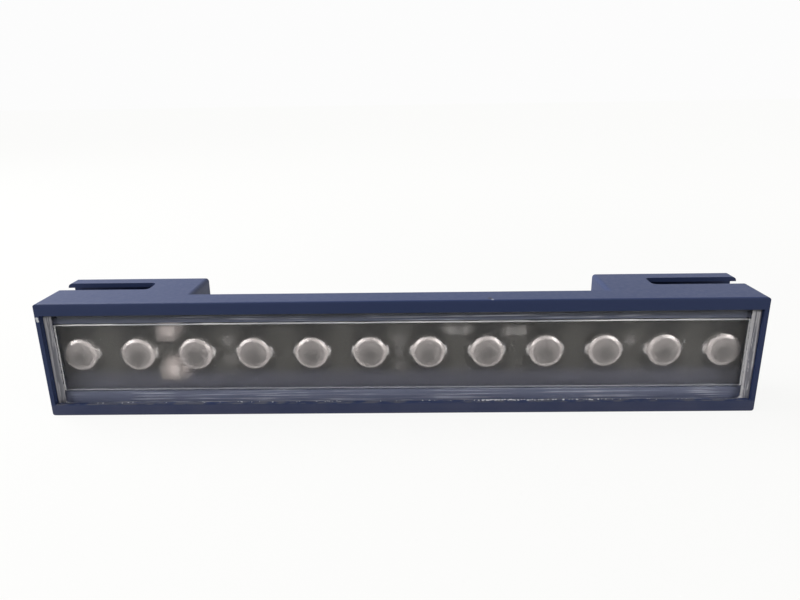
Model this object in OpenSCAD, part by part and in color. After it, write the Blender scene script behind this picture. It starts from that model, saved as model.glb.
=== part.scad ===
// Small LED strip batten: a folded sheet housing with two slotted hanging ears, a bedded window,
// a row of round-lens emitters on one board, and a rear panel with a junction cover.
// X runs along the bar, the window faces -Y and +Z is up. The origin is at the middle of the
// underside.

/* [Housing] */
// Length of the bar
bar_length = 120.3; // [96:0.1:160]
// Height of the bar
bar_height = 20.3; // [18:0.1:30]
// Depth over the ears, front face to back flange
bar_depth = 15.1; // [14.5:0.1:24]
// Thickness of the folded sheet
sheet_t = 0.8; // [0.6:0.1:1]
// Outer radius of the folds
fold_r = 0.25; // [0.2:0.05:0.6]
// Radius of the end corners, seen from the front
corner_r = 0.75; // [0.3:0.05:0.8]
// Height of the lips above and below the window
lip_h = 2.1; // [1.8:0.1:3]
// Depth of the top wall between the ears
top_depth = 4.65; // [3:0.05:6]
// How far the lower end walls and the floor reach back
floor_depth = 13; // [12.5:0.1:13.8]
// Height of the lower end walls behind the rear panel
end_step_h = 9.2; // [8.8:0.1:9.5]

/* [Ears] */
// Length of each ear along the bar
ear_length = 24.9; // [20:0.1:30]
// Height of the flanges turned down at the back and the inner end of each ear
ear_flange_h = 5; // [3:0.1:6]
// Width of the open-ended slot
slot_w = 4.2; // [3:0.1:4.5]
// Length of the slot from the end of the bar
slot_length = 16.3; // [10:0.1:18]
// Depth of the tongue behind the slot
tongue_depth = 2.9; // [2:0.05:3.5]
// Corner radius at the closed end of the slot
slot_r = 1; // [0.3:0.1:1.4]

/* [Window] */
// Thickness of the sealant bed behind the lips
sealant_t = 0.5; // [0.3:0.1:0.8]
// Width of the sealant bead
sealant_w = 1.15; // [1:0.05:1.5]
// Thickness of the clear pane
pane_t = 1.2; // [1:0.1:1.5]
// Gap between the pane and the housing walls
pane_gap = 0.4; // [0.2:0.05:0.6]
// Thickness of the frosted film on the back of the pane
film_t = 0.2; // [0.1:0.05:0.3]
// Margin between the upper edge of the film and the top of the bar
film_top = 4.6; // [4:0.05:5.5]
// Margin between the lower edge of the film and the underside
film_bottom = 4.05; // [3.5:0.05:5]
// Margin between the end of the film and the end of the bar
film_end = 2; // [1.7:0.1:2.5]
// Width of the adhesive bead round the film
bead_w = 0.35; // [0.2:0.05:0.4]
// Thickness of the inner frame behind the pane
frame_t = 0.5; // [0.4:0.1:0.6]

/* [Emitters] */
// Gap between the film and the lens tips
lens_gap = 0.15; // [0.1:0.05:0.3]
// Spacing of the emitters
led_pitch = 10; // [9:0.5:12]
// Diameter of the round lens
lens_d = 5.7; // [4.5:0.1:5.9]
// Height of the straight side of the lens
lens_side = 0.6; // [0.3:0.05:0.8]
// Height of the lens crown
lens_crown = 0.2; // [0.1:0.05:0.5]
// Diameter of the emitter body under the lens
package_d = 5.2; // [4.2:0.1:5.4]
// Height of the emitter body
package_t = 0.7; // [0.6:0.05:0.9]
// Width of each emitter lead
lead_w = 1.8; // [1.2:0.1:2.2]
// Thickness of each emitter lead
lead_t = 0.25; // [0.15:0.05:0.3]
// Length of each emitter lead
lead_l = 1.1; // [0.9:0.05:1.3]
// Reach of both leads, tip to tip
lead_span = 6.5; // [6.2:0.1:7]

/* [Board] */
// Gap between the board and the flanges above and below it
board_edge = 0.85; // [0.4:0.05:1.5]
// Thickness of the board
board_t = 1; // [0.8:0.1:1.2]
// Gap between the board and the end walls
board_gap = 0.5; // [0.3:0.1:0.6]
// Thickness of the thermal pad behind the board
pad_t = 0.3; // [0.2:0.05:0.5]
// Margin of the thermal pad inside the board's edge
pad_margin = 1.5; // [1:0.1:2]
// Rim of the thermal pad below the header's opening
pad_rim = 0.5; // [0.3:0.1:1]
// Distance of the chip parts above and below the emitter row
chip_offset = 3.6; // [3.3:0.1:4.2]
// Length of a capacitor along the bar
cap_l = 3.4; // [2.4:0.1:3.6]
// Width of a capacitor
cap_w = 2.8; // [2:0.1:3]
// Height of a capacitor
cap_t = 0.5; // [0.4:0.1:1]
// Length of a resistor along the bar
resistor_l = 3.2; // [2:0.1:3.4]
// Width of a resistor
resistor_w = 1.6; // [1.2:0.1:2]
// Height of a resistor
resistor_t = 0.4; // [0.3:0.05:0.8]
// Length of the metal cap on each chip end
chip_end = 0.5; // [0.3:0.05:0.6]

/* [Header] */
// Width of the wire header
header_w = 5.8; // [5:0.1:7]
// Height of the wire header
header_h = 7.5; // [6.5:0.1:8]
// Depth of the wire header behind the board
header_d = 6.6; // [5.5:0.1:7]
// Wall of the wire header
header_wall = 0.8; // [0.6:0.1:1]
// Floor of the wire header
header_floor = 1.6; // [1.2:0.1:2]
// Spacing of the header pins
pin_pitch = 2.5; // [2:0.1:3]
// Side of a square header pin
pin_w = 0.64; // [0.5:0.02:0.8]
// How far the pin tails stand in front of the board
pin_tail = 0.7; // [0.4:0.05:0.9]
// Radius of a soldered joint at a pin tail
joint_r = 0.9; // [0.8:0.05:1]
// Gap between the header and the wall of the cover below it
header_gap = 0.3; // [0.2:0.05:0.6]

/* [Rear panel] */
// Thickness of the rear panel
panel_t = 0.8; // [0.6:0.1:1]
// Reach of the end tabs behind the panel
tab_depth = 5.8; // [5.4:0.1:6.2]
// Height of the end tabs
tab_h = 6.8; // [6:0.1:7]
// Diameter of the end screws and the studs
screw_d = 2.5; // [2:0.1:2.6]
// Length of the end screws under the head
screw_l = 5; // [4.4:0.1:6]
// Diameter of the end screw heads
head_d = 4.4; // [3.8:0.1:4.6]
// Height of the end screw heads
head_h = 1; // [0.6:0.1:1.2]
// Width across the flats of the hex drive in the end screws
drive_w = 1.5; // [1.2:0.1:2]
// Depth of the hex drive in the end screws
drive_depth = 0.6; // [0.4:0.1:0.8]
// Diameter of the round nuts on the end tabs
nut_d = 4.2; // [3.8:0.1:4.4]
// Height of the round nuts on the end tabs
nut_h = 1.6; // [1.2:0.1:2]

/* [Junction cover] */
// Length of the cover
cover_l = 40; // [34:0.5:46]
// Height of the cover
cover_h = 12; // [11.5:0.1:12.5]
// Depth of the cover behind its gasket
cover_d = 7.1; // [6.9:0.1:7.3]
// Corner radius of the cover and its gasket
cover_r = 1; // [0.5:0.1:1.2]
// Wall of the cover
cover_wall = 1.2; // [1:0.1:1.4]
// Thickness of the cover gasket
gasket_t = 0.5; // [0.3:0.1:0.6]
// Length of the fixing tab at each end of the cover
ledge_l = 8; // [7:0.1:9]
// Height of the fixing tab
ledge_h = 5; // [4.8:0.1:5.2]
// Thickness of the fixing tab
ledge_t = 1.5; // [1.2:0.1:1.8]
// Width across the flats of the stud nuts
hex_w = 5; // [4.4:0.1:5.2]
// Height of the stud nuts
hex_h = 2; // [1.6:0.1:2.2]
// Diameter of the stud heads pressed into the panel
stud_head_d = 3.6; // [3.2:0.1:4]
// Length of the studs behind the panel
stud_l = 4.6; // [4.2:0.1:5]

/* [Cable entry] */
// Bore of the grommet
grommet_bore = 2.6; // [2:0.1:2.8]
// Diameter of the hole that holds the grommet
grommet_hole = 4.4; // [4:0.1:4.6]
// Diameter of the grommet's flanges
grommet_flange_d = 5.6; // [5.2:0.1:5.7]
// Thickness of each grommet flange
grommet_flange_t = 1; // [0.6:0.1:1.2]

/* [Fits] */
// Clearance between parts that slide together
fit = 0.1; // [0.05:0.01:0.15]
// Clearance of screw shanks and heads in their holes
thread_fit = 0.05; // [0.03:0.01:0.08]
// Clearance round a screw in a plain hole
hole_fit = 0.15; // [0.1:0.01:0.2]
// Hairline left on each side of the bedded pane
hairline = 0.02; // [0.01:0.01:0.05]

/* [Hidden] */
$fn = 48;
cut = 1;

// Depths behind the front face, in the order that the parts are stacked
front_y = -bar_depth / 2;
pane_y = sheet_t + sealant_t;
film_y = pane_y + pane_t;
frame_back_y = film_y + frame_t;
lens_tip_y = film_y + film_t + lens_gap;
lens_base_y = lens_tip_y + lens_crown + lens_side;
board_y = lens_base_y + package_t;
board_back_y = board_y + board_t;
panel_y = board_back_y + pad_t;
panel_back_y = panel_y + panel_t;
gasket_back_y = panel_back_y + gasket_t;
cover_back_y = gasket_back_y + cover_d;
ledge_back_y = gasket_back_y + ledge_t;
flange_y = bar_depth - sheet_t;
slot_y = bar_depth - tongue_depth - slot_w;

// Half lengths and heights
half_l = bar_length / 2;
inner_half = half_l - sheet_t;
ear_x = half_l - ear_length;
under_top = bar_height - sheet_t;
flange_z = bar_height - ear_flange_h;
row_z = bar_height / 2;
film_high = bar_height - film_top;
film_half = half_l - film_end;
board_low = sheet_t + fit + panel_t + board_edge;
board_high = bar_height - board_low;
header_z = board_low + pad_margin + pad_rim + hole_fit + header_h / 2;
cover_z = header_z - header_h / 2 - header_gap - cover_wall;
tab_z = sheet_t + fit + panel_t + fit;
screw_hole_d = screw_d + 2 * hole_fit;
screw_bore_d = screw_d + 2 * thread_fit;
screw_y = panel_back_y + tab_depth / 2;
screw_z = tab_z + tab_h / 2;
ledge_x = cover_l / 2 + ledge_l / 2;
ledge_z = cover_z + ledge_h / 2;
grommet_y = (gasket_back_y + cover_back_y - cover_wall) / 2;
grommet_z = cover_z + cover_h - cover_wall - fit - grommet_flange_d / 2;

// The row holds as many emitters as the length has room for
row_room = 2 * (inner_half - board_gap) - lead_span;
led_count = floor(row_room / led_pitch) + 1;
led_x = [for (i = [0 : led_count - 1]) (i - (led_count - 1) / 2) * led_pitch];
// Chip parts sit midway between neighbours, counted from the left end
cap_spots = [[1, 1], [1, -1]];
resistor_spots = [[6, 1], [7, 1]];

function number_name(i) = str(i < 9 ? "0" : "", i + 1);
function gap_x(i) = (led_x[i] + led_x[i + 1]) / 2;
header_x = gap_x(floor(led_count / 2) - 1);

navy = [0.16, 0.19, 0.30];
clear = [0.85, 0.88, 0.92, 0.35];
frosted = [0.80, 0.80, 0.82, 0.6];
sealant = [0.75, 0.78, 0.82, 0.6];
lens = [0.88, 0.87, 0.87, 0.8];
tin = [0.78, 0.78, 0.80];
steel = [0.62, 0.63, 0.65];
board_grey = [0.22, 0.22, 0.22];
chip_tan = [0.66, 0.53, 0.46];
chip_black = [0.10, 0.10, 0.11];
ivory = [0.86, 0.84, 0.78];
black = [0.08, 0.08, 0.09];

// A block from its two corners, with y counted back from the front face
module block(low, high) {
    translate([low[0], front_y + low[1], low[2]]) cube(high - low);
}

// A block that is centred on the middle of the bar
module bar(length, y0, y1, z0, z1) {
    block([-length / 2, y0, z0], [length / 2, y1, z1]);
}

// A rod along Y, with y counted back from the front face
module rod_y(x, z, d, y0, y1) {
    translate([x, front_y + y0, z]) rotate([-90, 0, 0]) cylinder(d = d, h = y1 - y0);
}

// A rod along X
module rod_x(y, z, d, x0, x1) {
    translate([x0, front_y + y, z]) rotate([0, 90, 0]) cylinder(d = d, h = x1 - x0);
}

// A rectangle from the origin with round corners
module round_rect(w, h, r) {
    translate([r, 0]) square([w - 2 * r, h]);
    translate([0, r]) square([w, h - 2 * r]);
    for (x = [r, w - r], y = [r, h - r]) translate([x, y]) circle(r);
}

// Both ends of the bar, the second mirrored from the first
module both_ends() {
    children();
    mirror([1, 0, 0]) children();
}

// A box as deep and as high as the bar, round along every edge
module envelope(low_x, length) {
    intersection() {
        translate([low_x, front_y, 0])
            linear_extrude(bar_height) round_rect(length, bar_depth, fold_r);
        translate([low_x, front_y + bar_depth, 0]) rotate([90, 0, 0])
            linear_extrude(bar_depth) round_rect(length, bar_height, corner_r);
        translate([low_x, front_y, 0]) rotate([90, 0, 90])
            linear_extrude(length) round_rect(bar_depth, bar_height, fold_r);
    }
}

// The outside of the bar, with one ear at each end of its top rear edge
module outside() {
    difference() {
        envelope(-half_l, bar_length);
        bar(bar_length + 2 * cut, top_depth, bar_depth + cut, flange_z, bar_height + cut);
    }
    both_ends() intersection() {
        envelope(ear_x, ear_length);
        bar(bar_length + 2 * cut, top_depth - sheet_t, bar_depth + cut, flange_z, bar_height + cut);
    }
}

// One ear's slot, open at the end of the bar and round-cornered at its closed end
module slot() {
    translate([half_l - slot_length, front_y + slot_y, under_top - cut])
        linear_extrude(sheet_t + 2 * cut) round_rect(slot_length + cut + slot_r, slot_w, slot_r);
}

// Folded sheet housing: lips, top wall with both ears, floor and end walls
module housing() {
    color(navy) difference() {
        outside();
        bar(2 * inner_half, sheet_t, panel_back_y + fit, sheet_t, under_top);
        bar(2 * inner_half, sheet_t, bar_depth + cut, sheet_t, flange_z);
        bar(2 * inner_half, -cut, sheet_t + cut, lip_h, bar_height - lip_h);
        bar(bar_length + 2 * cut, floor_depth, bar_depth + cut, -cut, flange_z);
        both_ends() {
            block([ear_x + sheet_t, sheet_t, flange_z - cut], [inner_half, flange_y, under_top]);
            block([inner_half - cut, panel_back_y, end_step_h], [half_l + cut, flange_y, under_top]);
            block([inner_half - cut, panel_back_y, end_step_h], [half_l + cut, bar_depth + cut, flange_z]);
            slot();
            rod_x(screw_y, screw_z, screw_hole_d, inner_half - cut, half_l + cut);
        }
    }
}

// Clear sealant bead between the lips and the pane
module window_sealant() {
    color(sealant) difference() {
        bar(2 * (inner_half - pane_gap), sheet_t, pane_y, sheet_t + pane_gap, under_top - pane_gap);
        bar(2 * (inner_half - pane_gap - sealant_w), sheet_t - cut, pane_y + cut,
            sheet_t + pane_gap + sealant_w, under_top - pane_gap - sealant_w);
    }
}

// Clear pane bedded behind the lips
module window_pane() {
    color(clear)
        bar(2 * (inner_half - pane_gap), pane_y + hairline, film_y - hairline,
            sheet_t + pane_gap, under_top - pane_gap);
}

// Frosted film on the back of the pane
module diffuser_film() {
    color(frosted)
        bar(2 * film_half, film_y, film_y + film_t, film_bottom, film_high);
}

// Adhesive bead that runs round the edge of the film
module film_bead() {
    color(sealant) difference() {
        bar(2 * (film_half + bead_w), film_y, film_y + film_t, film_bottom - bead_w, film_high + bead_w);
        bar(2 * film_half, film_y - cut, film_y + film_t + cut, film_bottom, film_high);
    }
}

// Flat frame that backs the pane round the film and its bead
module inner_frame() {
    rim = bead_w + fit;
    color(navy) difference() {
        bar(2 * (inner_half - fit), film_y, frame_back_y, sheet_t + fit, under_top - fit);
        bar(2 * (film_half + rim), film_y - cut, frame_back_y + cut, film_bottom - rim, film_high + rim);
    }
}

// Round lens with a straight side and a shallow spherical crown
module led_lens(i) {
    lens_h = lens_side + lens_crown;
    crown_r = (pow(lens_d / 2, 2) + pow(lens_crown, 2)) / (2 * lens_crown);
    color(lens) translate([led_x[i], front_y + lens_base_y, row_z]) rotate([90, 0, 0])
        rotate_extrude() intersection() {
            square([lens_d / 2, lens_h]);
            translate([0, lens_h - crown_r]) circle(crown_r, $fn = 720);
        }
}

// Round emitter body between the lens and the board
module led_package(i) {
    color(ivory) difference() {
        rod_y(led_x[i], row_z, package_d, lens_base_y, board_y);
        lead_pair(led_x[i]);
    }
}

// The two flat leads of one emitter, flat on the board
module lead_pair(x) {
    for (side = [-1, 1])
        translate([x + side * (lead_span - lead_l) / 2, 0, row_z])
            block([-lead_l / 2, board_y - lead_t, -lead_w / 2], [lead_l / 2, board_y, lead_w / 2]);
}

// Leads of the whole row
module led_leads() {
    color(tin) for (x = led_x) lead_pair(x);
}

// Board that carries the emitters, drilled for the header pins
module led_board() {
    color(board_grey) difference() {
        bar(2 * (inner_half - board_gap), board_y, board_back_y, board_low, board_high);
        pin_places() rod_y(0, 0, pin_w * sqrt(2) + 2 * thread_fit, board_y - cut, board_back_y + cut);
    }
}

// One chip part: its body between the metal ends
module chip_body(spot, l, w, t) {
    x = gap_x(spot[0]);
    z = row_z + spot[1] * chip_offset;
    block([x - l / 2 + chip_end, board_y - t, z - w / 2], [x + l / 2 - chip_end, board_y, z + w / 2]);
}

// The two metal ends of one chip part
module chip_caps(spot, l, w, t) {
    x = gap_x(spot[0]);
    z = row_z + spot[1] * chip_offset;
    for (side = [-1, 1])
        translate([side * (l - chip_end) / 2, 0, 0])
            block([x - chip_end / 2, board_y - t, z - w / 2], [x + chip_end / 2, board_y, z + w / 2]);
}

// Chip capacitors
module capacitors() {
    color(chip_tan) for (spot = cap_spots) chip_body(spot, cap_l, cap_w, cap_t);
}

// Chip resistors
module resistors() {
    color(chip_black) for (spot = resistor_spots) chip_body(spot, resistor_l, resistor_w, resistor_t);
}

// Tinned ends of every chip part
module chip_ends() {
    color(tin) {
        for (spot = cap_spots) chip_caps(spot, cap_l, cap_w, cap_t);
        for (spot = resistor_spots) chip_caps(spot, resistor_l, resistor_w, resistor_t);
    }
}

// Grey pad that bonds the board to the rear panel, open round the header
module thermal_pad() {
    color(steel) difference() {
        bar(2 * (inner_half - board_gap - pad_margin), board_back_y, panel_y,
            board_low + pad_margin, board_high - pad_margin);
        header_opening(board_back_y - cut, panel_y + cut);
    }
}

// The clear way for the header through the pad and the panel
module header_opening(y0, y1) {
    at_header() block([-header_w / 2 - hole_fit, y0, -header_h / 2 - hole_fit],
                      [header_w / 2 + hole_fit, y1, header_h / 2 + hole_fit]);
}

// The place of the header, midway between the two emitters nearest the middle
module at_header() {
    translate([header_x, 0, header_z]) children();
}

// The places of the two header pins
module pin_places() {
    for (side = [-1, 1]) at_header() translate([0, 0, side * pin_pitch / 2]) children();
}

// Wire header: an open box on the back of the board
module wire_header() {
    back_y = board_back_y + header_d;
    inner_w = header_w - 2 * header_wall;
    inner_h = header_h - 2 * header_wall;
    color(ivory) difference() {
        at_header() block([-header_w / 2, board_back_y, -header_h / 2],
                          [header_w / 2, back_y, header_h / 2]);
        at_header() block([-inner_w / 2, board_back_y + header_floor, -inner_h / 2],
                          [inner_w / 2, back_y + cut, inner_h / 2]);
        pin_places() pin(board_back_y - cut, back_y + cut, pin_w + 2 * thread_fit);
    }
}

// One square pin along Y
module pin(y0, y1, w) {
    block([-w / 2, y0, -w / 2], [w / 2, y1, w / 2]);
}

// Both header pins, from their tails in front of the board to their free ends
module header_pins() {
    color(tin) pin_places() pin(board_y - pin_tail, board_back_y + header_d - header_wall, pin_w);
}

// Cone of solder at one pin tail
module solder_joints() {
    color(tin) pin_places() difference() {
        translate([0, front_y + board_y, 0]) rotate([90, 0, 0])
            cylinder(r1 = joint_r, r2 = pin_w, h = pin_tail - thread_fit);
        pin(board_y - pin_tail - cut, board_y + cut, pin_w);
    }
}

// Rear panel: a flat plate with forward flanges above and below and a tab at each end
module rear_panel() {
    bottom = sheet_t + fit;
    top = under_top - fit;
    half = inner_half - fit;
    color(navy) difference() {
        union() {
            bar(2 * half, panel_y, panel_back_y, bottom, top);
            bar(2 * half, frame_back_y, panel_back_y, top - panel_t, top);
            bar(2 * half, frame_back_y, panel_back_y, bottom, bottom + panel_t);
            both_ends()
                block([half - panel_t, panel_y, tab_z], [half, panel_back_y + tab_depth, tab_z + tab_h]);
        }
        header_opening(panel_y - cut, panel_back_y + cut);
        stud_places() rod_y(0, 0, stud_head_d + 2 * thread_fit, panel_y - cut, panel_back_y + cut);
        both_ends() rod_x(screw_y, screw_z, screw_hole_d, half - panel_t - cut, half + cut);
    }
}

// Round nuts welded to the inner faces of the end tabs
module panel_nuts() {
    seat = inner_half - fit - panel_t;
    color(steel) both_ends() difference() {
        rod_x(screw_y, screw_z, nut_d, seat - nut_h, seat);
        rod_x(screw_y, screw_z, screw_bore_d, seat - nut_h - cut, seat + cut);
    }
}

// Low-head screws that hold the rear panel through the end walls
module panel_screws() {
    color(steel) both_ends() {
        rod_x(screw_y, screw_z, screw_d, half_l - screw_l, half_l);
        difference() {
            rod_x(screw_y, screw_z, head_d, half_l, half_l + head_h);
            translate([half_l + head_h - drive_depth, front_y + screw_y, screw_z]) rotate([0, 90, 0])
                cylinder(d = drive_w / cos(30), h = head_h, $fn = 6);
        }
    }
}

// The places of the two studs, one under each fixing tab of the cover
module stud_places() {
    for (side = [-1, 1]) translate([side * ledge_x, 0, ledge_z]) children();
}

// Threaded studs pressed into the rear panel
module cover_studs() {
    color(steel) stud_places() {
        rod_y(0, 0, stud_head_d, panel_y, panel_back_y);
        rod_y(0, 0, screw_d, panel_back_y, panel_back_y + stud_l);
    }
}

// A round-cornered plate of the cover between two depths
module cover_plate(length, height, y0, y1) {
    translate([-length / 2, front_y + y1, cover_z]) rotate([90, 0, 0])
        linear_extrude(y1 - y0) round_rect(length, height, cover_r);
}

// The cover's outline to one depth and its fixing tabs to another
module cover_outside(y0, back_y, tab_back_y) {
    cover_plate(cover_l, cover_h, y0, back_y);
    cover_plate(cover_l + 2 * ledge_l, ledge_h, y0, tab_back_y);
}

// Flat rubber gasket under the cover
module cover_gasket() {
    color(black) difference() {
        cover_outside(panel_back_y, gasket_back_y, gasket_back_y);
        bar(cover_l - 2 * cover_wall, panel_back_y - cut, gasket_back_y + cut,
            cover_z + cover_wall, cover_z + cover_h - cover_wall);
        stud_places() rod_y(0, 0, screw_hole_d, panel_back_y - cut, gasket_back_y + cut);
    }
}

// Moulded cover over the header, with a hole for the grommet
module junction_cover() {
    color(black) difference() {
        cover_outside(gasket_back_y, cover_back_y, ledge_back_y);
        bar(cover_l - 2 * cover_wall, gasket_back_y - cut, cover_back_y - cover_wall,
            cover_z + cover_wall, cover_z + cover_h - cover_wall);
        stud_places() rod_y(0, 0, screw_hole_d, gasket_back_y - cut, ledge_back_y + cut);
        rod_x(grommet_y, grommet_z, grommet_hole, cover_l / 2 - cover_wall - cut, cover_l / 2 + cut);
    }
}

// Hex nuts on the studs
module stud_nuts() {
    color(steel) stud_places() difference() {
        translate([0, front_y + ledge_back_y, 0]) rotate([-90, 0, 0])
            cylinder(d = hex_w / cos(30), h = hex_h, $fn = 6);
        rod_y(0, 0, screw_bore_d, ledge_back_y - cut, ledge_back_y + hex_h + cut);
    }
}

// Rubber grommet in the right end of the cover
module cable_grommet() {
    outer = cover_l / 2;
    inner = outer - cover_wall;
    tip = outer + grommet_flange_t;
    tail = inner - grommet_flange_t;
    color(black) difference() {
        union() {
            rod_x(grommet_y, grommet_z, grommet_hole - 2 * thread_fit, inner, outer);
            rod_x(grommet_y, grommet_z, grommet_flange_d, outer, tip);
            rod_x(grommet_y, grommet_z, grommet_flange_d, tail, inner);
        }
        rod_x(grommet_y, grommet_z, grommet_bore, tail - cut, tip + cut);
    }
}

housing();
window_sealant();
window_pane();
diffuser_film();
film_bead();
inner_frame();
for (i = [0 : led_count - 1]) {
    led_lens(i);
    led_package(i);
}
led_leads();
led_board();
capacitors();
resistors();
chip_ends();
thermal_pad();
wire_header();
header_pins();
solder_joints();
rear_panel();
panel_nuts();
panel_screws();
cover_studs();
cover_gasket();
junction_cover();
stud_nuts();
cable_grommet();
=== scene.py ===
"""A small LED batten: a navy folded-sheet bar with a frosted window over twelve emitters.

The CAD nodes carry the metalwork, the pane and the electronics. The beads of sealant and
adhesive, the emitters' domes, their solder fillets and the crumbs are shaped here, and every
piece gets its finish. Lengths are in metres, apart from names that end in _mm and the points of
near().
"""

import bpy
import numpy as np
from mathutils import Matrix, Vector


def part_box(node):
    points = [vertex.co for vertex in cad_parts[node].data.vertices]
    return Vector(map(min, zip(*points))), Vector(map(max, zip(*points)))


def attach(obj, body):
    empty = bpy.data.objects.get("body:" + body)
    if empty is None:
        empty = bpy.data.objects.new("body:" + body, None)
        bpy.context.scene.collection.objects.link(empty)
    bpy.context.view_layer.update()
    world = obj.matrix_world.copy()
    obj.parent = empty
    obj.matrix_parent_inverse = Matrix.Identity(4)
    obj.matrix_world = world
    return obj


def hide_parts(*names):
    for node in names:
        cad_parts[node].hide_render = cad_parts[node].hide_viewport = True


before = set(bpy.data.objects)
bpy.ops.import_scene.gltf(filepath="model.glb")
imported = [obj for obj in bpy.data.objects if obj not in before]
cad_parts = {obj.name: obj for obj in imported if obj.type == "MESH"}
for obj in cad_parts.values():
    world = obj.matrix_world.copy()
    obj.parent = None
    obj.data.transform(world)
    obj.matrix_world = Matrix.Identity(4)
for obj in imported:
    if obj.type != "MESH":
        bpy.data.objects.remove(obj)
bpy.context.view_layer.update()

# The camera stands close in front of the bar, a little right of its middle, and looks down on
# it through a wide lens with a slight roll.
MM = 0.001
optics = bpy.data.cameras.new("camera")
optics.sensor_width = 36.0
optics.lens = 29.62
optics.shift_x = -0.000625
optics.shift_y = 0.001875
optics.clip_start = 0.005
camera = bpy.data.objects.new("camera", optics)
look_down, look_left, roll = np.radians([17.603, 1.090, -0.882])
stand = (2.336 * MM, -109.353 * MM, 52.471 * MM)
camera.matrix_world = (
    Matrix.Translation(stand)
    @ Matrix.Rotation(look_left, 4, "Z")
    @ Matrix.Rotation(np.pi / 2 - look_down, 4, "X")
    @ Matrix.Rotation(roll, 4, "Z")
)
bpy.context.collection.objects.link(camera)
bpy.context.scene.camera = camera
bpy.context.scene.view_settings.view_transform = "Standard"


# The housing is one folded steel sheet, powder coated navy, and the rear panel has the same
# coat. It has a fine peel, thins along the outer folds, has lost a flake on the upper front
# edge, holds dust on the lower lip, and carries a dried smear of sealant on the left end wall.
# The lower lip's front is paler in blotches: a painted glare.
class Wire:
    """A socket in a material's nodes. Arithmetic on it adds Math nodes."""

    def __init__(self, tree, socket=None):
        self.tree = tree
        self.socket = socket

    def node(self, kind, settings, inputs, output=0):
        """Adds a node of a type: its settings first, then the values or links of its sockets."""
        made = self.tree.nodes.new("ShaderNode" + kind)
        for key, value in settings.items():
            setattr(made, key, value)
        for key, value in inputs.items():
            if isinstance(value, Wire):
                self.tree.links.new(value.socket, made.inputs[key])
            else:
                made.inputs[key].default_value = value
        return Wire(self.tree, made.outputs[output])

    def math(self, operation, *values):
        """A Math node on values or wires."""
        return self.node("Math", {"operation": operation}, dict(enumerate(values)))

    def __add__(self, other):
        return self.math("ADD", self, other)

    def __radd__(self, other):
        return self.math("ADD", other, self)

    def __sub__(self, other):
        return self.math("SUBTRACT", self, other)

    def __rsub__(self, other):
        return self.math("SUBTRACT", other, self)

    def __mul__(self, other):
        return self.math("MULTIPLY", self, other)

    def __rmul__(self, other):
        return self.math("MULTIPLY", other, self)

    def __truediv__(self, other):
        return self.math("DIVIDE", self, other)

    def __pow__(self, other):
        return self.math("POWER", self, other)

    def __abs__(self):
        return self.math("ABSOLUTE", self)

    def span(self, other):
        """The length of a step of self and of other across it: the root of their squares' sum."""
        return (self ** 2 + other ** 2) ** 0.5

    def step(self, edge, soft, before, after):
        """Before where the value is under edge - soft, after over edge + soft, smooth between."""
        limits = {0: self, 1: edge - soft, 2: edge + soft, 3: before, 4: after}
        return self.node("MapRange", {"interpolation_type": "SMOOTHSTEP"}, limits)

    def below(self, edge, soft):
        """A step from 1 down to 0."""
        return self.step(edge, soft, 1.0, 0.0)

    def above(self, edge, soft):
        """A step from 0 up to 1."""
        return self.step(edge, soft, 0.0, 1.0)

    def spot(self):
        """The point's Object coordinates."""
        return self.node("TexCoord", {}, {}, "Object")

    def places(self):
        """The three Object coordinates as values."""
        spot = self.spot()
        return [self.node("SeparateXYZ", {}, {0: spot}, axis) for axis in range(3)]

    def noise(self, scale, detail=2.0, stretch=(1.0, 1.0, 1.0)):
        """Noise over Object coordinates, with scale features to the metre, drawn out by stretch."""
        drawn = self.node("Mapping", {}, {"Vector": self.spot(), "Scale": stretch})
        return self.node("TexNoise", {}, {"Vector": drawn, "Scale": scale, "Detail": detail})

    def near(self, x, y, z, reach, soft):
        """1 near a point and 0 far from it: the distance's step down at reach, give or take soft.
        All are in millimetres."""
        ends = {0: self.spot(), 1: (x * MM, y * MM, z * MM)}
        gap = self.node("VectorMath", {"operation": "DISTANCE"}, ends, "Value")
        return gap.below(reach * MM, soft * MM)

    def blend(self, share, first, second):
        """A mix of two colours, from the first at share 0 to the second at share 1."""
        return self.node("Mix", {"data_type": "RGBA"}, {0: share, 6: first, 7: second}, 2)

    def mottle(self, scale, first, second):
        """Two colours mixed by noise with scale features to the metre."""
        return self.blend(self.noise(scale, 3), first, second)

    def bump(self, height, distance):
        """A normal raised by height times distance, at half strength."""
        return self.node("Bump", {}, {"Height": height, "Distance": distance, "Strength": 0.5})


def finish(name, **sockets):
    """A material with one Principled shader: the material, its shader and a wire for its nodes."""
    material = bpy.data.materials.new(name)
    material.use_nodes = True
    shader = material.node_tree.nodes["Principled BSDF"]
    for key, value in sockets.items():
        shader.inputs[key.replace("_", " ")].default_value = value
    return material, shader, Wire(material.node_tree)


def feed(shader, **wires):
    """Links wires to the shader's sockets."""
    for key, wire in wires.items():
        wire.tree.links.new(wire.socket, shader.inputs[key.replace("_", " ")])


def dress(material, *names):
    """Gives CAD nodes a finish."""
    for name in names:
        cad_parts[name].data.materials.clear()
        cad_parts[name].data.materials.append(material)


bar_low, bar_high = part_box("housing")
front = bar_low.y
front_mm = front / MM
top_mm = bar_high.z / MM
lip_top = 2.1 * MM

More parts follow.
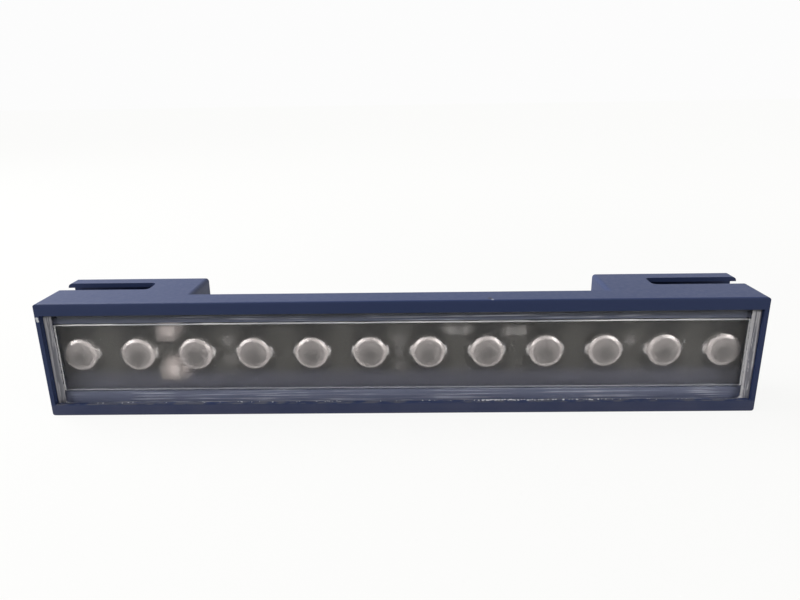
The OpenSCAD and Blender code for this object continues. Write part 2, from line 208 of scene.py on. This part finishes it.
navy, shader, w = finish("navy_powder_coat", Specular_IOR_Level=0.22)
x, y, z = w.places()
peel = w.noise(1500)
grain = w.noise(5200)
upper_fold = (y - front).span(z - bar_high.z)
lower_fold = (y - front).span(z)
thin = upper_fold.below(0.5 * MM, 0.3 * MM) + lower_fold.below(0.4 * MM, 0.3 * MM)
share = w.noise(60, 3) * 0.5 + grain * 0.35 + thin * 0.12 - 0.1
shade = w.blend(share, (0.017, 0.029, 0.083, 1), (0.034, 0.048, 0.116, 1))
flake = w.near(15.0, front_mm + 0.9, top_mm, 0.4, 0.15)
shade = w.blend(flake, shade, (0.01, 0.012, 0.03, 1))
bare_edge = w.near(15.35, front_mm + 0.3, top_mm, 0.2, 0.15)
shade = w.blend(bare_edge, shade, (0.3, 0.32, 0.38, 1))
ledge = abs(z - lip_top).below(0.12 * MM, 0.06 * MM) * abs(x).below(59.2 * MM, 0.1 * MM)
ledge = ledge * y.below(front + 1 * MM, 0.1 * MM)
dusty = ledge * w.noise(900, 3, (0.5, 1, 1)).above(0.5, 0.12)
shade = w.blend(dusty, shade, (0.09, 0.096, 0.13, 1))
# Painted glare: the lower lip's front is paler in blotches.
lip_glare = z.below(1.95 * MM, 0.15 * MM) * y.below(front + 0.3 * MM, 0.1 * MM) * w.noise(140, 3)
shade = w.blend(lip_glare * 0.12, shade, (0.46, 0.42, 0.45, 1))
smear = w.near(-59.7, front_mm, 17.75, 0.25, 0.12) + w.near(-59.62, front_mm, 17.35, 0.22, 0.12)
shade = w.blend(smear.above(0.5, 0.4), shade, (0.62, 0.64, 0.66, 1))
feed(
    shader,
    Base_Color=shade,
    Roughness=0.42 + peel * 0.16,
    Normal=w.bump(peel + grain * 0.6, 0.03 * MM),
)
dress(navy, "housing", "rear_panel")


# The sealant is a hand-run bead of clear silicone that beds the pane behind the lips. It dried
# in fine streaks along its length, thins to a feather at both ends, and stands further forward
# at the right one than at the left.
def outline(low_x, high_x, low_z, high_z, corner, steps):
    """A rectangle with round corners as an array of x, z points: a quarter circle about each
    corner's centre, then a straight run of steps points to the next corner."""
    arc_points = 9
    turn = np.radians(np.arange(0, 360, 90)[:, None] + np.linspace(0, 90, arc_points))
    centre_x = np.array([high_x, low_x, low_x, high_x]) + corner * np.array([-1, 1, 1, -1])
    centre_z = np.array([high_z, high_z, low_z, low_z]) + corner * np.array([-1, -1, 1, 1])
    arc_x = centre_x[:, None] + corner * np.cos(turn)
    arc_z = centre_z[:, None] + corner * np.sin(turn)
    arcs = np.stack([arc_x, arc_z], -1)
    share = np.linspace(0, 1, steps + 2)[1:-1, None]
    runs = arcs[:, None, -1] * (1 - share) + np.roll(arcs, -1, 0)[:, None, 0] * share
    return np.concatenate([arcs, runs], 1).reshape(-1, 2)


def wander(count, waves, size, seed):
    """A smooth closed wobble: sines of whole-number waves with seeded phases, scaled to size."""
    chance = np.random.default_rng(seed)
    phase = chance.uniform(0, 2 * np.pi, (len(waves), 1))
    turn = np.linspace(0, 2 * np.pi, count, endpoint=False)
    wobble = np.sin(np.array(waves)[:, None] * turn + phase).sum(0)
    return size * wobble[:, None] / np.abs(wobble).max()


def bead(name, inner, outer, near_y, far_y, taper, material):
    """A closed bead: at each point of the path a superellipse spans from the inner outline to the
    outer one and from the near depth to the far one. Taper 1 thins its inner side to a feather."""
    sides, squareness = 12, 0.6
    turn = np.linspace(0, 2 * np.pi, sides, endpoint=False) + np.pi / sides
    across = 0.5 + 0.5 * np.sign(np.cos(turn)) * np.abs(np.cos(turn)) ** squareness
    rise = 0.5 + 0.5 * np.sign(np.sin(turn)) * np.abs(np.sin(turn)) ** squareness
    path = inner[:, None] + (outer - inner)[:, None] * across[:, None]
    y = far_y - (far_y - near_y) * rise * (1 - taper * (1 - across))
    points = np.stack([path[..., 0], np.broadcast_to(y, path.shape[:2]), path[..., 1]], -1)
    index = np.arange(len(inner) * sides).reshape(-1, sides)
    next_row = np.roll(index, -1, 0)
    faces = np.stack([index, np.roll(index, -1, 1), np.roll(next_row, -1, 1), next_row], -1)
    return piece(name, points.reshape(-1, 3), faces.reshape(-1, 4).tolist(), material)


def piece(name, points, faces, material):
    """A smooth mesh of points and faces as a piece on the bar's one body."""
    mesh = bpy.data.meshes.new(name)
    mesh.from_pydata(points.tolist(), [], faces)
    mesh.polygons.foreach_set("use_smooth", np.ones(len(faces), bool))
    mesh.materials.append(material)
    made = bpy.data.objects.new(name, mesh)
    bpy.context.collection.objects.link(made)
    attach(made, "root")
    return made


def let_lamps_through(material, tint):
    """Rays to the lamps meet a Transparent shader, so that what is behind is lit."""
    w = Wire(material.node_tree)
    seen = Wire(material.node_tree, material.node_tree.nodes["Principled BSDF"].outputs[0])
    shadow = w.node("LightPath", {}, {}, "Is Shadow Ray")
    clear = w.node("BsdfTransparent", {}, {"Color": tint})
    both = w.node("MixShader", {}, {0: shadow, 1: seen, 2: clear})
    out = material.node_tree.nodes["Material Output"]
    material.node_tree.links.new(both.socket, out.inputs["Surface"])


bed_low, bed_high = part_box("window_sealant")
silicone, shader, w = finish("clear_silicone", Coat_Weight=0.3, Coat_Roughness=0.15)
x, _, z = w.places()
at_ends = abs(x).above(57.4 * MM, 0.2 * MM)
drawn = w.noise(5200, 3, (0.025, 1, 1)) * (1 - at_ends) + w.noise(2400, 3, (1, 1, 0.03)) * at_ends
right_rim = x.above(57.9 * MM, 0.2 * MM) * x.below(58.3 * MM, 0.15 * MM)
rim = x.below(-58.95 * MM, 0.12 * MM) + right_rim
shade = w.blend(drawn, (0.08, 0.08, 0.1, 1), (0.29, 0.285, 0.325, 1))
shade = w.blend(drawn.above(0.56, 0.06) * 0.6 + rim * 0.7, shade, (0.6, 0.59, 0.6, 1))
streaks = at_ends * w.noise(4200, 2, (1, 1, 0.04)).above(0.52, 0.06)
shade = w.blend(streaks * (0.55 + x.above(0.0, MM) * 0.25), shade, (0.64, 0.62, 0.63, 1))
# Painted shadow: the bead turns near black just under the upper lip.
shade = w.blend(z.above(17.6 * MM, 0.2 * MM), shade, (0.025, 0.026, 0.034, 1))
feed(shader, Base_Color=shade, Roughness=0.25 + drawn * 0.2)
let_lamps_through(silicone, (0.6, 0.6, 0.62, 1))

run_steps = 300
inner = outline(bed_low.x + 0.95 * MM, bed_high.x - 0.95 * MM, bed_low.z + 0.8 * MM,
                bed_high.z - 0.9 * MM, corner=0.5 * MM, steps=run_steps)
outer = outline(bed_low.x - 0.38 * MM, bed_high.x + 0.38 * MM, bed_low.z + 0.1 * MM,
                bed_high.z - 0.1 * MM, corner=0.3 * MM, steps=run_steps)
inner = inner + wander(len(inner), waves=(9, 17, 31, 58, 97), size=0.1 * MM, seed=3)
at_end = np.clip((np.abs(outer[:, :1]) - 58.6 * MM) / (0.5 * MM), 0, 1)
climb = np.where(outer[:, :1] > 0, -0.3 * MM, 0.2 * MM)
sealant = bead("sealant_bead", inner, outer, bed_low.y + climb * at_end, bed_high.y,
               taper=at_end, material=silicone)
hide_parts("window_sealant")


# The pane is clear cast acrylic with polished faces and sawn edges, bedded on the sealant.
# Lamps shine through it, so the row behind it is lit.
acrylic, shader, w = finish(
    "clear_acrylic", Transmission_Weight=1.0, IOR=1.36, Roughness=0.02,
    Specular_Tint=(0.25, 0.25, 0.25, 1),
)
feed(shader, Base_Color=w.mottle(300, (0.97, 0.975, 0.98, 1), (0.93, 0.94, 0.95, 1)))
let_lamps_through(acrylic, (0.94, 0.95, 0.96, 1))
dress(acrylic, "window_pane")


# The diffuser is a thin frosted plastic film, held to the back of the pane by the adhesive
# round its edge. It blurs what lies behind it, and the more the further back that is.
frosted, shader, w = finish(
    "frosted_film", Transmission_Weight=0.995, IOR=1.36, Roughness=0.4,
    Specular_Tint=(0.12, 0.12, 0.12, 1),
)
feed(shader, Base_Color=w.mottle(900, (0.94, 0.925, 0.905, 1), (0.9, 0.885, 0.87, 1)))
let_lamps_through(frosted, (0.94, 0.94, 0.95, 1))
dress(frosted, "diffuser_film")


# The film's adhesive was run round its edge by hand: a thin milky line that wavers along the
# long sides and spreads a little at the right end.
film_low, film_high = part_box("diffuser_film")
adhesive, shader, w = finish("film_adhesive")
x, _, z = w.places()
uneven = w.noise(420, 3, (0.4, 1, 1))
shade = w.blend(uneven.above(0.5, 0.2), (0.36, 0.36, 0.38, 1), (0.62, 0.6, 0.59, 1))
shade = w.blend(z.below(5 * MM, 0.5 * MM), shade, (0.17, 0.175, 0.2, 1))
shade = w.blend(abs(x).above(58.1 * MM, 0.1 * MM), shade, (0.72, 0.7, 0.69, 1))
feed(shader, Base_Color=shade, Roughness=0.35 + uneven * 0.2)
inner = outline(film_low.x, film_high.x, film_low.z, film_high.z, corner=0.1 * MM,
                steps=run_steps)
outer = outline(film_low.x - 0.28 * MM, film_high.x + 0.36 * MM, film_low.z - 0.26 * MM,
                film_high.z + 0.24 * MM, corner=0.3 * MM, steps=run_steps)
outer = outer + wander(len(outer), waves=(7, 16, 29, 47, 83), size=0.06 * MM, seed=11)
adhesive_line = bead("film_adhesive", inner, outer, film_low.y, film_high.y, taper=0.0,
                     material=adhesive)
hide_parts("film_bead")


# The inner frame is a flat painted strip that backs the pane round the film. Thin smears of
# sealant run along it, parallel to its edges. Its upper strip is darker and its top edge near
# black: a painted shadow of the upper lip.
lining, shader, w = finish("frame_coat")
x, _, z = w.places()
at_ends = abs(x).above(57.6 * MM, 0.15 * MM)
drawn = w.noise(3600, 4, (0.02, 1, 1)) * (1 - at_ends) + w.noise(3600, 4, (1, 1, 0.02)) * at_ends
patchy = w.noise(110, 2, (1, 0, 0.3))
shade = w.blend(drawn, (0.052, 0.06, 0.1, 1), (0.112, 0.12, 0.175, 1))
# Painted shadow of the upper lip: the upper strip darkens.
shade = w.blend(z.above(16.55 * MM, 0.55 * MM) * 0.9, shade, (0.018, 0.022, 0.038, 1))
smear = drawn.above(0.58, 0.05) * patchy.above(0.48, 0.12)
shade = w.blend(smear, shade, (0.28, 0.28, 0.32, 1))
# Painted shadow: a near black line right under the lip.
shade = w.blend(z.above(17.15 * MM, 0.15 * MM) * 0.9, shade, (0.006, 0.008, 0.014, 1))
feed(shader, Base_Color=shade, Roughness=0.4 + drawn * 0.2)
dress(lining, "inner_frame")


# The emitters are moulded silicone lenses with a flat crown and round shoulders, on ivory bodies
# with flat tinned leads. The well over the chip shows darker through the lens, and bright fillets
# of solder hold the leads to the board.
def turned(name, centre, radius, depth, columns, material):
    """A closed solid of revolution about y: at each row the radius times the cosine and sine of
    the turn, at that row's depth, with flat ends."""
    turn = np.linspace(0, 2 * np.pi, columns, endpoint=False)
    x = centre[0] + radius[:, None] * np.cos(turn)
    z = centre[1] + radius[:, None] * np.sin(turn)
    points = np.stack([x, np.broadcast_to(depth[:, None], x.shape), z], -1)
    index = np.arange(x.size).reshape(x.shape)
    ring = np.roll(index, -1, 1)
    sides = np.stack([index[:-1], index[1:], ring[1:], ring[:-1]], -1).reshape(-1, 4)
    ends = [index[0].tolist(), index[-1, ::-1].tolist()]
    return piece(name, points.reshape(-1, 3), sides.tolist() + ends, material)


def globes(name, centre, size, rows, columns, material):
    """One piece of many ellipsoids: the unit sphere's points, times each one's three radii, about
    its centre. A small flat closes each pole."""
    pole = 0.02
    turn = np.linspace(0, 2 * np.pi, columns, endpoint=False)
    fall = np.linspace(pole, np.pi - pole, rows)[:, None]
    sphere = np.stack([np.sin(fall) * np.cos(turn), np.sin(fall) * np.sin(turn),
                       np.cos(fall) + 0 * turn], -1)
    points = sphere * size[:, None, None] + centre[:, None, None]
    index = np.arange(len(size) * rows * columns).reshape(-1, rows, columns)
    ring = np.roll(index, -1, 2)
    sides = np.stack([index[:, :-1], index[:, 1:], ring[:, 1:], ring[:, :-1]], -1)
    ends = np.concatenate([index[:, 0, ::-1], index[:, -1]])
    faces = sides.reshape(-1, 4).tolist() + ends.tolist()
    return piece(name, points.reshape(-1, 3), faces, material)


def from_emitter(x):
    """How far along the bar the nearest emitter's middle is: the fraction of x over the pitch, less
    a half, times the pitch."""
    pitches = x / pitch
    return (pitches.math("FRACT", pitches) - 0.5) * pitch


lens_low, lens_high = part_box("led_lens_01")
row_z = (lens_low.z + lens_high.z) / 2
pitch = 10 * MM
emitters = np.arange(1, 13)
middles = (emitters - emitters.mean()) * pitch

lens, shader, w = finish("emitter_lens", Roughness=0.4)
x, _, z = w.places()
across = from_emitter(x)
rise = z - row_z
well = across.span(rise + 0.5 * MM).below(1.35 * MM, 0.95 * MM)
shade = w.blend(well, (0.27, 0.247, 0.239, 1), (0.122, 0.112, 0.108, 1))
rim = across.span(rise).above(2.3 * MM, 0.15 * MM)
under = rise.below(-0.2 * MM, 1.4 * MM)
shoulder = w.blend(under, (0.62, 0.569, 0.552, 1), (0.68, 0.623, 0.606, 1))
shade = w.blend(rim, shade, shoulder)
feed(shader, Base_Color=shade, Metallic=rim * (0.7 - under * 0.55))

crown_r, crown_drop = [0.3, 0.9, 1.5, 2.05], [0, 0.01, 0.03, 0.06]
shoulder_r = [2.22, 2.34, 2.5, 2.68, 2.76, 2.81, 2.84, 2.85, 2.85]
shoulder_drop = [0.09, 0.14, 0.23, 0.335, 0.39, 0.44, 0.49, 0.55, 0.8]
lens_r = np.array(crown_r + shoulder_r) * MM
lens_y = lens_low.y + np.array(crown_drop + shoulder_drop) * MM
for number, middle in zip(emitters, middles):
    dome = turned(f"emitter_dome_{number:02d}", (middle, row_z), lens_r, lens_y, columns=36,
                  material=lens)
    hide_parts(f"led_lens_{number:02d}")

ivory, shader, w = finish("ivory_moulding", Roughness=0.5)
feed(shader, Base_Color=w.mottle(900, (0.7, 0.67, 0.6, 1), (0.78, 0.75, 0.69, 1)))
dress(ivory, *[f"led_package_{number:02d}" for number in emitters])

tin, shader, w = finish("tinned_metal")
x, _, z = w.places()
foot = from_emitter(x).span(z - row_z).above(3.12 * MM, 0.12 * MM)
shade = w.mottle(2500, (0.88, 0.85, 0.84, 1), (0.97, 0.94, 0.93, 1))
shade = w.blend(foot, shade, (0.06, 0.055, 0.05, 1))
feed(shader, Base_Color=shade, Roughness=0.45 + w.noise(4000) * 0.2)
dress(tin, "led_leads")

board_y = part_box("led_board")[0].y
fillet_x = (middles[:, None] + np.array([-2.8, 2.8]) * MM).ravel()
fillet_y = np.full_like(fillet_x, board_y - 0.2 * MM)
fillet_at = np.stack([fillet_x, fillet_y, np.full_like(fillet_x, row_z)], -1)
fillet_size = np.broadcast_to(np.array([0.36, 0.26, 0.75]) * MM, fillet_at.shape)
fillet, shader, w = finish("bright_solder", Metallic=0.25, Roughness=0.4)
feed(shader, Base_Color=w.mottle(2500, (0.92, 0.87, 0.85, 1), (0.99, 0.95, 0.93, 1)))
globes("lead_fillets", fillet_at, fillet_size, rows=10, columns=14, material=fillet)


# The board is glass laminate under a dark solder mask, bonded to the rear panel by a grey pad.
# Pale pads show between some of the emitters. Painted onto the mask are a near black shade
# behind each emitter, a bluish light on its lower part, and a pale glow round the chips.
def chip_glow(w, depth):
    """Soft pale patches round the resistors' ends, a painted glow, at a depth in millimetres: the
    sum of what is near each end."""
    patches = w.near(8.7, depth, 14.1, 0.85, 1.1)
    for end_x, end_z in ((11.5, 13.95), (18.6, 13.5), (20.7, 13.5)):
        patches = patches + w.near(end_x, depth, end_z, 0.55, 1.1)
    return patches


board_mm = board_y / MM
mask, shader, w = finish("solder_mask", Roughness=0.45)
x, _, z = w.places()
shade = w.mottle(500, (0.036, 0.033, 0.028, 1), (0.068, 0.064, 0.058, 1))
# Painted shade: the mask is near black in a band behind each emitter.
emitter_shade = abs(from_emitter(x)).below(2.9 * MM, 1.4 * MM)
shade = w.blend(emitter_shade, shade, (0.007, 0.006, 0.005, 1))
# Painted light: the lower part turns bluish, as if lit from the navy lip below.
shade = w.blend(z.below(6.0 * MM, 1.6 * MM), shade, (0.072, 0.072, 0.1, 1))
# Painted glow: pale patches on the mask round the resistors' ends.
shade = w.blend(chip_glow(w, board_mm), shade, (0.33, 0.311, 0.3, 1))
# Painted glow: pale patches on the mask round the capacitors.
cap_glow = w.near(-39.3, board_mm, 15.0, 1.9, 1.2) + w.near(-38.9, board_mm, 7.3, 2.0, 1.3)
shade = w.blend(cap_glow, shade, (0.5, 0.44, 0.42, 1))
for pad_x, pad_z in ((-29.5, 12.2), (-29.0, 8.6), (0.0, 12.0), (0.1, 7.3), (39.5, 11.6)):
    bare_pad = w.near(pad_x, board_mm, pad_z, 0.9, 0.8)
    shade = w.blend(bare_pad, shade, (0.15, 0.14, 0.135, 1))
feed(shader, Base_Color=shade)
dress(mask, "led_board")

pad, shader, w = finish("thermal_pad", Roughness=0.7)
feed(shader, Base_Color=w.mottle(2500, (0.4, 0.4, 0.42, 1), (0.46, 0.46, 0.48, 1)))
dress(pad, "thermal_pad")


# Two chip capacitors of tan ceramic and two dark chip resistors sit between the emitters. All
# are soldered to the board by their tinned ends. A painted glow lights the capacitors and their
# ends in the middle, leaving their edges dark, and the resistors near their ends.
def on_capacitors(w, reach, soft):
    """1 at the middles of the capacitors, with a soft edge at reach, all in millimetres."""
    return w.near(-39.4, chip_mm, 14.7, reach, soft) + w.near(-39.2, chip_mm, 7.1, reach, soft)


chip_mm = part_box("capacitors")[0].y / MM
ceramic, shader, w = finish("glazed_ceramic", Roughness=0.6)
# Painted glow: the capacitors show their tan only in the middle and are dark towards the edges.
uneven = w.mottle(2500, (0.2, 0.175, 0.167, 1), (0.25, 0.22, 0.21, 1))
feed(shader, Base_Color=w.blend(on_capacitors(w, 1.1, 1.2), uneven, (0.67, 0.592, 0.562, 1)))
dress(ceramic, "capacitors")

film_resistor, shader, w = finish("resistor_body", Roughness=0.4)
body = w.mottle(2500, (0.085, 0.081, 0.077, 1), (0.13, 0.124, 0.12, 1))
# Painted glow: the resistor bodies are paler near their ends.
feed(shader, Base_Color=w.blend(chip_glow(w, chip_mm), body, (0.27, 0.257, 0.248, 1)))
dress(film_resistor, "resistors")

terminal, shader, w = finish("chip_terminal", Roughness=0.6)
dull = w.mottle(2500, (0.2, 0.18, 0.17, 1), (0.26, 0.24, 0.23, 1))
# Painted glow: the ends are bright near the capacitors' middles and paler near the resistors'.
shade = w.blend(on_capacitors(w, 1.2, 1.1), dull, (0.55, 0.5, 0.475, 1))
feed(shader, Base_Color=w.blend(chip_glow(w, chip_mm), shade, (0.3, 0.289, 0.28, 1)))
dress(terminal, "chip_ends")


# The wire header is an ivory moulding on the back of the board. Its pins pass through the board
# and are soldered on the front, where the joints have dulled.
dress(ivory, "wire_header")
solder, shader, w = finish("dull_solder", Metallic=0.4)
shade = w.mottle(2500, (0.11, 0.103, 0.1, 1), (0.165, 0.155, 0.15, 1))
feed(shader, Base_Color=shade, Roughness=0.6 + w.noise(4000) * 0.2)
dress(solder, "solder_joints", "header_pins")


# The fastenings are zinc plated steel: end screws in welded round nuts, and pressed studs with
# hex nuts for the cover.
zinc, shader, w = finish("zinc_plate", Metallic=1.0)
shade = w.mottle(900, (0.36, 0.365, 0.375, 1), (0.48, 0.48, 0.49, 1))
feed(shader, Base_Color=shade, Roughness=0.32 + w.noise(3000) * 0.25)
dress(zinc, "panel_nuts", "panel_screws", "cover_studs", "stud_nuts")


# The junction cover is moulded black plastic on a cut rubber gasket, with a rubber grommet in
# its right end.
rubber, shader, w = finish("black_rubber", Roughness=0.75)
feed(shader, Base_Color=w.mottle(2500, (0.018, 0.018, 0.02, 1), (0.03, 0.03, 0.032, 1)))
dress(rubber, "cover_gasket", "cable_grommet")

moulded, shader, w = finish("black_moulding", Roughness=0.55, Specular_IOR_Level=0.25)
feed(
    shader,
    Base_Color=w.mottle(2500, (0.02, 0.02, 0.022, 1), (0.034, 0.034, 0.037, 1)),
    Normal=w.bump(w.noise(5000), 0.02 * MM),
)
dress(moulded, "junction_cover")


# Crumbs of dried silicone lie along the lower lip where the bead was trimmed, most of them
# right of the middle, and a few specks have stuck to the pane.
chance = np.random.default_rng(20)
many, few = 70, 60
crumb_x = np.concatenate([chance.uniform(13.4, 34.2, many), chance.uniform(-54, 57, few)]) * MM
size = np.concatenate([chance.uniform(0.05, 0.13, many), chance.uniform(0.03, 0.08, few)]) * MM
lean = chance.uniform(0.8, 2.4, many + few)
crumb_y = chance.uniform(0.45, 0.78, many + few) * MM + front
crumb_z = lip_top + size * 0.35
on_lip = np.stack([crumb_x, crumb_y, crumb_z], -1)
lip_size = np.stack([size * lean, size, size * 0.8], -1)

speck_x = np.array([-50.3, -31.4, -6.2, 22.4, 47.5]) * MM
speck_z = np.array([13.5, 8.6, 14.6, 6.4, 12.2]) * MM
speck_y = np.full_like(speck_x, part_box("window_pane")[0].y - 0.03 * MM)
on_pane = np.stack([speck_x, speck_y, speck_z], -1)
pane_size = np.broadcast_to(np.array([0.08, 0.08, 0.064]) * MM, on_pane.shape)
chalk, shader, w = finish("dried_silicone", Roughness=0.4)
feed(shader, Base_Color=w.blend(w.noise(3000), (0.6, 0.61, 0.63, 1), (0.9, 0.9, 0.9, 1)))
centre = np.concatenate([on_lip, on_pane])
stretch = np.concatenate([lip_size, pane_size])
globes("sealant_crumbs", centre, stretch, rows=6, columns=8, material=chalk)


# The stage is a plain pale floor and a white surround, with a large soft lamp high on the left
# and a tall strip light on each side, a little in front. The floor is white to the eye, and near
# the bar more of its own colour shows, with the shadow.
def white_for_sight(tree):
    """1 for the rays that look at the surround: from the camera, off gloss and through glass."""
    w = Wire(tree)
    seen = w.node("LightPath", {}, {}, "Is Camera Ray")
    for kind in ("Is Glossy Ray", "Is Transmission Ray"):
        seen = seen.math("MAXIMUM", seen, w.node("LightPath", {}, {}, kind))
    return seen


world = bpy.data.worlds.new("studio")
world.use_nodes = True
bpy.context.scene.world = world
w = Wire(world.node_tree)
dim = w.node("Background", {}, {"Color": (1, 1, 1, 1), "Strength": 0.2})
white = w.node("Background", {}, {"Color": (1, 1, 1, 1), "Strength": 0.975})
both = w.node("MixShader", {}, {0: white_for_sight(world.node_tree), 1: dim, 2: white})
world.node_tree.links.new(both.socket, world.node_tree.nodes["World Output"].inputs["Surface"])

floor_mesh = bpy.data.meshes.new("floor")
half = 3.0
corners = [(-half, -half, 0), (half, -half, 0), (half, half, 0), (-half, half, 0)]
floor_mesh.from_pydata(corners, [], [(0, 1, 2, 3)])
floor = bpy.data.objects.new("floor", floor_mesh)
floor.location.z = -0.02 * MM
bpy.context.collection.objects.link(floor)
paper, shader, w = finish("floor_paper", Roughness=0.9)
sight = white_for_sight(paper.node_tree)
feed(shader, Base_Color=w.blend(sight, (0.3, 0.3, 0.3, 1), (0.5, 0.5, 0.5, 1)))
glow = w.node("Emission", {}, {"Color": (1, 1, 0.99, 1), "Strength": 1.0})
lit = Wire(paper.node_tree, shader.outputs[0])
by_bar = w.near(0, 0, 0, 150, 140)
both = w.node("MixShader", {}, {0: sight * (0.96 - by_bar * 0.05), 1: lit, 2: glow})
paper.node_tree.links.new(both.socket, paper.node_tree.nodes["Material Output"].inputs["Surface"])
floor_mesh.materials.append(paper)

for name, wide, tall, energy, place in (
    ("lamp_key", 0.4, 0.4, 5.45, (-0.4, 0.09, 0.35)),
    ("strip_left", 0.06, 0.2, 0.5, (-0.34, -0.3, 0.22)),
    ("strip_right", 0.06, 0.2, 0.52, (0.34, -0.3, 0.22)),
):
    lamp = bpy.data.lights.new(name, "AREA")
    lamp.shape = "RECTANGLE"
    lamp.size = wide
    lamp.size_y = tall
    lamp.energy = energy
    holder = bpy.data.objects.new(name, lamp)
    holder.location = place
    holder.rotation_euler = (-holder.location).to_track_quat("-Z", "Y").to_euler()
    bpy.context.collection.objects.link(holder)
